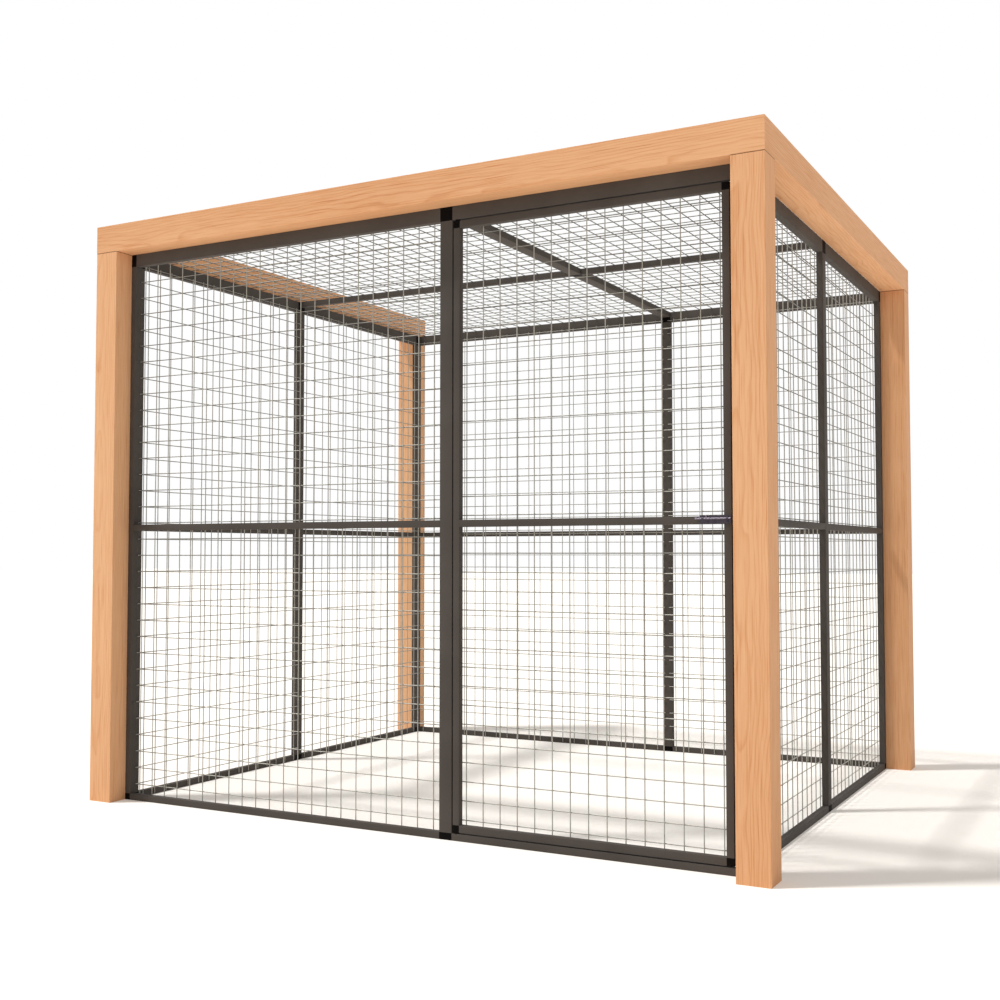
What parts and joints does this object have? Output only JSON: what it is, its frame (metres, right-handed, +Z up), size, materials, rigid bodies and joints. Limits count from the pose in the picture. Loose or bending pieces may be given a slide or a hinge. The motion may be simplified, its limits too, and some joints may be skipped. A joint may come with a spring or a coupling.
{
  "type": "cat run",
  "caption": "Free-standing cat run: square timber posts and beams around tube frames on nylon connectors, welded mesh on the walls and roof, and a pivoted mesh door with a slide bolt.",
  "frame": {"origin": "on the floor, in the middle of the footprint of the posts", "axes": "+X to the right seen from the door side, +Y from the door side to the back, +Z up"},
  "size_m": [3, 2.56, 2.5085],
  "materials": {
    "timber": "planed softwood, oiled",
    "frame": "satin anthracite powder coat on aluminium tube",
    "connector": "black moulded nylon",
    "mesh": "galvanised wire",
    "latch": "black painted steel",
    "bolt": "bright zinc-plated steel",
    "screw": "zinc-plated steel"
  },
  "bodies": {
    "run": {"back_bottom_rails": "frame", "back_connectors": "connector", "back_mesh": "mesh", "back_mid_rails": "frame", "back_mullion": "frame", "back_stiles": "frame", "back_top_rails": "frame", "beam_front": "timber", "beam_left": "timber", "beam_right": "timber", "beam_screws": "screw", "frame_screws": "screw", "front_bottom_rail_left": "frame", "front_bottom_rail_right": "frame", "front_connectors": "connector", "front_mesh": "mesh", "front_mid_rail": "frame", "front_mullion": "frame", "front_stile_left": "frame", "front_stile_right": "frame", "front_top_rail_left": "frame", "front_top_rail_right": "frame", "latch_keep": "latch", "left_bottom_rails": "frame", "left_centre_stile": "frame", "left_connectors": "connector", "left_mesh": "mesh", "left_mid_rails": "frame", "left_stiles": "frame", "left_top_rails": "frame", "mid_rail_plugs": "connector", "pivot_bushes": "connector", "post_back_left": "timber", "post_back_right": "timber", "post_front_left": "timber", "post_front_right": "timber", "right_bottom_rails": "frame", "right_centre_stile": "frame", "right_connectors": "connector", "right_mesh": "mesh", "right_mid_rails": "frame", "right_stiles": "frame", "right_top_rails": "frame", "roof_connector": "connector", "roof_cross_rails": "frame", "roof_long_rails": "frame", "roof_mesh": "mesh"},
    "door": {"door_bottom_rail": "frame", "door_connectors": "connector", "door_hinge_stile": "frame", "door_lock_stile": "frame", "door_mesh": "mesh", "door_mid_rail": "frame", "door_pivot_pins": "bolt", "door_plugs": "connector", "door_top_rail": "frame", "latch_plate": "latch", "latch_screws": "screw"},
    "bolt": {"latch_bolt": "bolt"}
  },
  "joints": [
    {"name": "door_hinge", "type": "hinge", "parent": "run", "child": "door", "pos_m": [0.28215, -1.1797, 1.18], "axis": [0, 0, -1], "range_deg": [0, 110]},
    {"name": "bolt_slide", "type": "slide", "parent": "door", "child": "bolt", "axis": [1, 0, 0], "range_m": [0, 0.016]}
  ]
}
